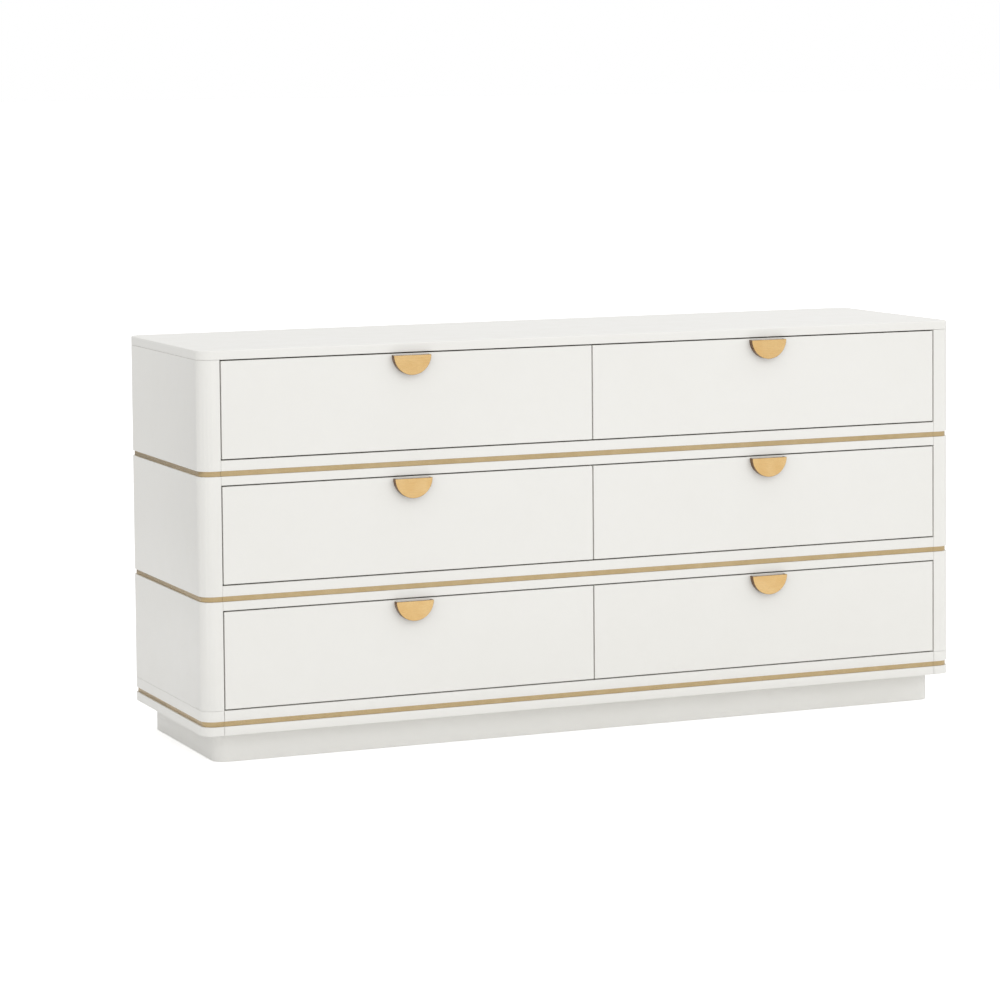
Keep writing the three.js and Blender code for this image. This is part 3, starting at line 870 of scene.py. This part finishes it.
for row in ROWS:
    for column in COLUMNS:
        for slide_side in SLIDE_SIDES:
            runner_name = f"runner_{row}_{column}_{slide_side}"
            plate(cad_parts[runner_name])
            low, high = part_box(runner_name)
            # The channel's mouth is towards the drawer: away from the middle of the case on the
            # inner slides, towards it on the outer ones.
            outward = 1 if column == "right" else -1
            mouth = outward if slide_side == "inner" else -outward
            wall_x = (low.x if mouth > 0 else high.x) + mouth * RUNNER_GAUGE
            middle = (low.z + high.z) / 2
            turn = 0 if mouth > 0 else math.pi
            screws = [driven(wall_x, low.y + run, middle, turn) for run in RUNNER_SCREWS]
            fit_piece(joined(screws, f"{runner_name}_screws"), "carcass", zinc, "zinc_steel")
            for level, z in (("top", middle + BALL_LEVEL), ("bottom", middle - BALL_LEVEL)):
                x = wall_x + mouth * (BALL_DEPTH - RUNNER_GAUGE - RUNNER_GAP)
                start = low.y + CAGE_START
                end = start + BALL_PITCH * (BALL_COUNT - 1)
                cage = block(
                    "cage",
                    (x - CAGE_WIDTH / 2, start - BALL_PITCH, z - CAGE_THICKNESS / 2),
                    (x + CAGE_WIDTH / 2, end + BALL_PITCH, z + CAGE_THICKNESS / 2),
                )
                ease(cage, CAGE_ARRIS, 2)
                balls = [
                    copied(steel_ball, "ball", (x, start + n * BALL_PITCH, z))
                    for n in range(BALL_COUNT)
                ]
                fit_piece(
                    joined([cage] + balls, f"{runner_name}_balls_{level}"),
                    "carcass", zinc, "zinc_steel",
                )
bpy.data.objects.remove(steel_ball, do_unlink=True)


# ---- Drawer boxes -------------------------------------------------------------------------------
# Four boards of clear-finished poplar, the sides and ends joined by through dovetails and grooved
# all round for the floor. All six boxes are alike, so one is cut and the others are copied from it.
BOX_WALL = 0.012
FLOOR_GROOVE = 0.006
FLOOR_THICKNESS = 0.006
FLOOR_LIFT = 0.012
GROOVE_PLAY = 0.0003
TAILS = 4
PIN_WIDE = 0.011  # at the inside of the joint
PIN_NARROW = 0.006
GLUE_LINE = 0.00006
BOX_ARRIS = 0.0008
BOX_GLOSS = 0.42  # roughness

box_low, box_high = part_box("drawer_bottom_right_box")
box_middle = (box_low + box_high) / 2


def taper(ob, chosen, scale, centre):
    """Resizes the chosen vertices about a centre."""
    activate(ob)
    bpy.ops.object.mode_set(mode="EDIT")
    bpy.ops.mesh.select_mode(type="VERT")
    bpy.ops.mesh.select_all(action="DESELECT")
    bm = bmesh.from_edit_mesh(ob.data)
    for vertex in bm.verts:
        vertex.select_set(chosen(vertex.co))
    bmesh.update_edit_mesh(ob.data)
    bpy.ops.transform.resize(value=scale, center_override=centre)
    bpy.ops.object.mode_set(mode="OBJECT")


pin_step = (box_high.z - box_low.z) / TAILS


def pin(level, x_low, x_high, front, grow):
    """One pin of the joint at an end of the box, its wide side towards the inside of the box."""
    y_low, y_high = box_low.y, box_low.y + BOX_WALL
    z = box_low.z + level * pin_step
    ob = block(
        "pin", (x_low, y_low, z - PIN_WIDE / 2 - grow), (x_high, y_high, z + PIN_WIDE / 2 + grow)
    )
    narrow = (PIN_NARROW + 2 * grow) / (PIN_WIDE + 2 * grow)
    taper(ob, lambda v: v.y < y_low + NEAR, (1, 1, narrow), (box_middle.x, y_low, z))
    if not front:
        ob.data.transform(
            Matrix.Translation((0, 2 * box_middle.y, 0)) @ Matrix.Diagonal((1, -1, 1, 1))
        )
        ob.data.flip_normals()
    return ob


# The side: a full-length board with the pins' shapes taken out of both ends.
box_side = block("box_side", (box_high.x - BOX_WALL, box_low.y, box_low.z), box_high)
floor_slot_low = box_low.z + FLOOR_LIFT - GROOVE_PLAY
floor_slot_high = box_low.z + FLOOR_LIFT + FLOOR_THICKNESS + GROOVE_PLAY
cut_block(
    box_side,
    (box_high.x - BOX_WALL - SPARE, box_low.y + FLOOR_GROOVE, floor_slot_low),
    (box_high.x - BOX_WALL + FLOOR_GROOVE, box_high.y - FLOOR_GROOVE, floor_slot_high),
)
for front in (True, False):
    for level in range(TAILS + 1):
        cut(
            box_side,
            pin(level, box_high.x - BOX_WALL - SPARE, box_high.x + SPARE, front, GLUE_LINE),
        )

# The end: a board between the sides, with a pin left standing wherever the side has a gap.
box_end = block(
    "box_end",
    (box_low.x + BOX_WALL, box_low.y, box_low.z),
    (box_high.x - BOX_WALL, box_low.y + BOX_WALL, box_high.z),
)
box_pins = []
for level in range(TAILS + 1):
    for x_low, x_high in (
        (box_low.x, box_low.x + BOX_WALL + NEAR),
        (box_high.x - BOX_WALL - NEAR, box_high.x),
    ):
        box_pins.append(pin(level, x_low, x_high, True, 0))
for box_pin in box_pins:
    cut(box_end, box_pin, "UNION")
for z_low, z_high in ((box_low.z - SPARE, box_low.z), (box_high.z, box_high.z + SPARE)):
    cut_block(
        box_end,
        (box_low.x - SPARE, box_low.y - SPARE, z_low),
        (box_high.x + SPARE, box_low.y + SPARE, z_high),
    )
cut_block(
    box_end,
    (box_low.x + FLOOR_GROOVE, box_low.y + BOX_WALL - FLOOR_GROOVE, floor_slot_low),
    (box_high.x - FLOOR_GROOVE, box_low.y + BOX_WALL + SPARE, floor_slot_high),
)
ease(box_side, BOX_ARRIS, 2)
ease(box_end, BOX_ARRIS, 2)

box_side_timber = timber("box_side_poplar", ALONG_Y, Gloss=BOX_GLOSS)
box_end_timber = timber("box_end_poplar", ALONG_X, Gloss=BOX_GLOSS)


def turned_end(ob, axis, centre):
    """Mirrors a piece across a plane through the centre."""
    flip = [-1 if n == axis else 1 for n in range(3)]
    ob.data.transform(
        Matrix.Translation(centre) @ Matrix.Diagonal(flip + [1]) @ Matrix.Translation(-centre)
    )
    ob.data.flip_normals()
    return ob


for drawer in DRAWERS:
    low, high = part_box(f"{drawer}_box")
    shift = (low + high) / 2 - box_middle
    boards = (
        ("side_right", copied(box_side, "board"), box_side_timber),
        ("side_left", turned_end(copied(box_side, "board"), 0, box_middle), box_side_timber),
        ("end_front", copied(box_end, "board"), box_end_timber),
        ("end_back", turned_end(copied(box_end, "board"), 1, box_middle), box_end_timber),
    )
    for title, board, board_timber in boards:
        board.name = board.data.name = f"{drawer}_box_{title}"
        board.data.transform(Matrix.Translation(shift))
        nodes = (f"{drawer}_box",) if title == "side_right" else ()
        fit_piece(board, drawer, board_timber, "drawer_box_wood", *nodes)
bpy.data.objects.remove(box_side, do_unlink=True)
bpy.data.objects.remove(box_end, do_unlink=True)


# ---- Drawer floors ------------------------------------------------------------------------------
# A sheet of thin birch plywood, its face grain running from side to side, slid into the grooves
# before the last end of the box goes on.
BIRCH_PALE = (0.74, 0.64, 0.47, 1)
BIRCH_DARK = (0.60, 0.48, 0.31, 1)
BIRCH_SHIFT = (0.3, 0.7, 0.2)  # so that its grain differs from the boards'
BIRCH_GLOSS = 0.5  # roughness

birch = timber(
    "birch_plywood", ALONG_X, BIRCH_SHIFT, Pale=BIRCH_PALE, Dark=BIRCH_DARK, Gloss=BIRCH_GLOSS
)
for drawer in DRAWERS:
    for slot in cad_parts[f"{drawer}_floor"].material_slots:
        slot.material = birch


# ---- Drawer slides ------------------------------------------------------------------------------
# The moving channel of each slide, roll-formed from the same zinc-plated strip. It is screwed to
# the side of the drawer box through its web, and it runs on the fixed channel's balls.
for drawer in DRAWERS:
    low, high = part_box(f"{drawer}_box")
    screws = []
    for slide_side in SLIDE_SIDES:
        slide_name = f"{drawer}_slide_{slide_side}"
        plate(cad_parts[slide_name])
        slide_low, slide_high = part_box(slide_name)
        middle = (slide_low.z + slide_high.z) / 2
        to_right = slide_low.x > (low.x + high.x) / 2
        face_x = slide_low.x + RUNNER_GAUGE if to_right else slide_high.x - RUNNER_GAUGE
        turn = 0 if to_right else math.pi
        screws += [driven(face_x, slide_low.y + run, middle, turn) for run in RUNNER_SCREWS]
    fit_piece(joined(screws, f"{drawer}_slide_screws"), drawer, zinc, "zinc_steel")


# ---- Drawer fronts ------------------------------------------------------------------------------
# A slab of fibreboard with crisp, slightly softened edges, lacquered on every face and screwed to
# the drawer box from inside. It sits in its opening flush with the rails.
FRONT_ARRIS = 0.0009
FRONT_SCREW_IN = 0.070  # from the sides of the box
FRONT_SCREW_UP = 0.035  # from its top and bottom

front_low, front_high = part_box("drawer_bottom_right_front")
front_slab = block("front", front_low, front_high)
ease(front_slab, FRONT_ARRIS, 4)
for drawer in DRAWERS:
    low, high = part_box(f"{drawer}_front")
    fit_piece(
        copied(front_slab, f"{drawer}_front_slab", low - front_low),
        drawer, lacquer, "white_lacquer", f"{drawer}_front",
    )
    low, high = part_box(f"{drawer}_box")
    screws = [
        driven(x, low.y + BOX_WALL, z, math.pi / 2)
        for x in (low.x + FRONT_SCREW_IN, high.x - FRONT_SCREW_IN)
        for z in (low.z + FRONT_SCREW_UP, high.z - FRONT_SCREW_UP)
    ]
    fit_piece(joined(screws, f"{drawer}_front_screws"), drawer, zinc, "zinc_steel")
bpy.data.objects.remove(front_slab, do_unlink=True)


# ---- Pulls --------------------------------------------------------------------------------------
# A half-round cup of brass, open along its flat top for the fingers, its face brushed and clear
# lacquered, and its rim painted near-black brown as painted shade and painted dark reflection. Two
# turned posts inside it are screwed to through the drawer front.
PULL_RADIUS = 0.0375
PULL_FACE = 0.004
PULL_RIM = 0.003  # thickness of the wall behind the face
PULL_ARRIS = 0.0006
POST_RADIUS = 0.004
POST_SPACING = 0.038
POST_DROP = 0.013
COLLAR_RADIUS = 0.0055
COLLAR_HEIGHT = 0.0012
RIM_SLOPE = 0.9  # a face that turns this far from the front belongs to the rim
# Painted shade: the near-black brown laid on the rim's faces stands in for the shade and dark
# reflections on the pull's side wall.
RIM_PAINTED_SHADE = (0.115, 0.050, 0.026, 1)
RIM_SHADE_BREAKUP_SCALE = 900
PULL_BRUSHED = 0.3
PULL_GLOSS = 0.24  # roughness
PULL_BRIGHT = (0.86, 0.60, 0.285, 1)
PULL_DEEP = (0.78, 0.50, 0.205, 1)
PULL_TARNISH = (0.45, 0.27, 0.11, 1)
PULL_SIDES = 128
POST_SIDES = 32

pull_low, pull_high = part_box("drawer_bottom_right_pull")
pull_middle = (pull_low + pull_high) / 2

pull_cup = turned_rod(PULL_RADIUS, pull_low.y, pull_high.y, pull_middle.x, pull_high.z, PULL_SIDES)
cut(
    pull_cup,
    turned_rod(
        PULL_RADIUS - PULL_RIM, pull_low.y + PULL_FACE, pull_high.y + SPARE,
        pull_middle.x, pull_high.z, PULL_SIDES,
    ),
)
cut_block(
    pull_cup,
    (pull_low.x - SPARE, pull_low.y - SPARE, pull_high.z),
    (pull_high.x + SPARE, pull_high.y + SPARE, pull_high.z + PULL_RADIUS + SPARE),
)
ease(pull_cup, PULL_ARRIS, 4)
pull_parts = [pull_cup]
for side in (-1, 1):
    x, z = pull_middle.x + side * POST_SPACING / 2, pull_high.z - POST_DROP
    post = turned_rod(POST_RADIUS, pull_low.y + PULL_FACE / 2, pull_high.y, x, z, POST_SIDES)
    collar = turned_rod(
        COLLAR_RADIUS, pull_high.y - COLLAR_HEIGHT, pull_high.y, x, z, POST_SIDES
    )
    ease(post, 0)
    ease(collar, PULL_ARRIS / 2)
    pull_parts += [post, collar]
pull = joined(pull_parts, "pull")
# Marks the faces that turn away from the front, where the painted shade goes.
rim = pull.data.attributes.new("rim", "FLOAT", "FACE")
for face in pull.data.polygons:
    rim.data[face.index].value = float(abs(face.normal.y) < RIM_SLOPE)

pull_brass, pull_tree, pull_shader = new_material("brushed_brass_pull")
pull_shader.inputs["Metallic"].default_value = 1
pull_shader.inputs["Anisotropic"].default_value = PULL_BRUSHED
pull_finish = place_group(
    pull_tree,
    brushed_metal,
    {
        "Bright": PULL_BRIGHT,
        "Deep": PULL_DEEP,
        "Tarnish": PULL_TARNISH,
        "Gloss": PULL_GLOSS,
    },
)
link_finish(pull_tree, pull_finish, pull_shader)
# Painted shade: the rim's faces are mixed 75 to 98 percent of the way to the near-black brown,
# broken up by noise.
pull_rim = add(pull_tree, "ShaderNodeAttribute", attribute_name="rim").outputs["Fac"]
pull_place = add(pull_tree, "ShaderNodeTexCoord").outputs["Object"]
rim_shade_breakup = noise(pull_tree, pull_place, RIM_SHADE_BREAKUP_SCALE, 2)
rim_shade_cover = maths(
    pull_tree, "MULTIPLY", pull_rim, ranged(pull_tree, rim_shade_breakup, 0.3, 0.7, 0.75, 0.98)
)
pull_color = mixed(pull_tree, rim_shade_cover, pull_finish.outputs["Color"], RIM_PAINTED_SHADE)
pull_tree.links.new(pull_color, pull_shader.inputs["Base Color"])

for drawer in DRAWERS:
    low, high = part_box(f"{drawer}_pull")
    fit_piece(
        copied(pull, f"{drawer}_half_disc", low - pull_low),
        drawer, pull_brass, "brushed_brass", f"{drawer}_pull",
    )
    back_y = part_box(f"{drawer}_front")[1].y
    middle = (low.x + high.x) / 2
    screws = [
        driven(middle + side * POST_SPACING / 2, back_y, high.z - POST_DROP, math.pi / 2)
        for side in (-1, 1)
    ]
    fit_piece(joined(screws, f"{drawer}_pull_screws"), drawer, zinc, "zinc_steel")
bpy.data.objects.remove(pull, do_unlink=True)
bpy.data.objects.remove(pan_screw, do_unlink=True)


# ---- Floor, light and camera --------------------------------------------------------------------
# A pale seamless studio floor whose bounced light falls off behind the piece, a white surround that
# is dimmer behind and to the left, one large soft light above and in front, and a long lens.
FLOOR_SIZE = 300
FLOOR_WHITE = (0.93, 0.93, 0.93, 1)
FLOOR_GLOW = 0.42  # what the camera sees of the floor, beyond the light that falls on it
FLOOR_BOUNCE_FRONT = 0.92
FLOOR_BOUNCE_BACK = 0.86
FLOOR_BOUNCE_FAR = 0.54
FLOOR_BACK_SPAN = (-1.0, 1.2)  # from the front bounce to the back one
FLOOR_FAR_SPAN = (1.4, 3.0)  # and from there to the far one
SURROUND = 0.93
SURROUND_DIM = 0.56
DIM_WAY = (-0.7, 0.71, 0)
DIM_SPAN = (0.2, 1.0)  # how squarely a ray goes that way
OVERHEAD = 0.13  # added straight up

bpy.ops.object.select_all(action="DESELECT")
bpy.ops.mesh.primitive_plane_add(size=FLOOR_SIZE)
studio_floor = bpy.context.object
studio_floor.name = "studio_floor"
floor_paper, floor_tree, floor_shader = new_material("studio_paper")
floor_shader.inputs["Base Color"].default_value = FLOOR_WHITE
floor_shader.inputs["Roughness"].default_value = 0.9
floor_shader.inputs["Specular IOR Level"].default_value = 0.1
floor_shader.inputs["Emission Color"].default_value = (1, 1, 1, 1)
floor_shader.inputs["Emission Strength"].default_value = FLOOR_GLOW
floor_place = add(floor_tree, "ShaderNodeTexCoord").outputs["Object"]
floor_depth = add(floor_tree, "ShaderNodeSeparateXYZ", {0: floor_place}).outputs["Y"]
floor_near = ranged(
    floor_tree, floor_depth, *FLOOR_BACK_SPAN, FLOOR_BOUNCE_FRONT, FLOOR_BOUNCE_BACK
)
floor_color = mixed(
    floor_tree, ranged(floor_tree, floor_depth, *FLOOR_FAR_SPAN, 0, 1), floor_near,
    (FLOOR_BOUNCE_FAR,) * 3 + (1,),
)
floor_bounce = add(floor_tree, "ShaderNodeBsdfDiffuse", {"Color": floor_color})
floor_mix = add(
    floor_tree,
    "ShaderNodeMixShader",
    {0: add(floor_tree, "ShaderNodeLightPath").outputs["Is Camera Ray"]},
)
floor_tree.links.new(floor_bounce.outputs[0], floor_mix.inputs[1])
floor_tree.links.new(floor_shader.outputs[0], floor_mix.inputs[2])
floor_tree.links.new(
    floor_mix.outputs[0], floor_tree.nodes["Material Output"].inputs["Surface"]
)
studio_floor.data.materials.append(floor_paper)

world = bpy.data.worlds.new("studio_surround")
world.use_nodes = True
bpy.context.scene.world = world
world_tree = world.node_tree
world_shader = world_tree.nodes["Background"]
world_way = add(world_tree, "ShaderNodeTexCoord").outputs["Generated"]
world_dim = add(
    world_tree, "ShaderNodeVectorMath", {0: world_way, 1: DIM_WAY}, operation="DOT_PRODUCT"
).outputs["Value"]
world_up = add(world_tree, "ShaderNodeSeparateXYZ", {0: world_way}).outputs["Z"]
world_glow = maths(
    world_tree, "ADD",
    ranged(world_tree, world_dim, *DIM_SPAN, SURROUND, SURROUND_DIM),
    maths(world_tree, "MULTIPLY", world_up, OVERHEAD),
)
world_seen = add(world_tree, "ShaderNodeLightPath").outputs["Is Camera Ray"]
world_level = mixed(world_tree, world_seen, world_glow, (1, 1, 1, 1))
world_tree.links.new(world_level, world_shader.inputs["Color"])

KEY_PLACE = (1.2, -4.2, 3.6)
KEY_AIM = (0, 0, 0.4)
KEY_WIDTH = 4.5
KEY_HEIGHT = 2.5
KEY_POWER = 23
bpy.ops.object.light_add(type="AREA", location=KEY_PLACE)
key = bpy.context.object
key.name = "key_light"
key.data.shape = "RECTANGLE"
key.data.size = KEY_WIDTH
key.data.size_y = KEY_HEIGHT
key.data.energy = KEY_POWER
key.rotation_euler = (Vector(KEY_AIM) - key.location).to_track_quat("-Z", "Y").to_euler()

CAMERA_PLACE = (-2.727, -6.235, 1.273)
CAMERA_TURN = 22.852  # degrees to the right of straight ahead
CAMERA_DIP = 3.784
CAMERA_ROLL = -0.507
CAMERA_LENS = 124.79
CAMERA_RISE = -0.2  # the lens's shift
CAMERA_REACH = 200
camera_data = bpy.data.cameras.new("camera")
camera_data.lens = CAMERA_LENS
camera_data.shift_y = CAMERA_RISE
camera_data.clip_end = CAMERA_REACH
camera = bpy.data.objects.new("camera", camera_data)
bpy.context.scene.collection.objects.link(camera)
camera.matrix_world = (
    Matrix.Translation(CAMERA_PLACE)
    @ Matrix.Rotation(math.radians(-CAMERA_TURN), 4, "Z")
    @ Matrix.Rotation(math.radians(90 - CAMERA_DIP), 4, "X")
    @ Matrix.Rotation(math.radians(CAMERA_ROLL), 4, "Z")
)
bpy.context.scene.camera = camera
bpy.context.scene.view_settings.view_transform = "Standard"
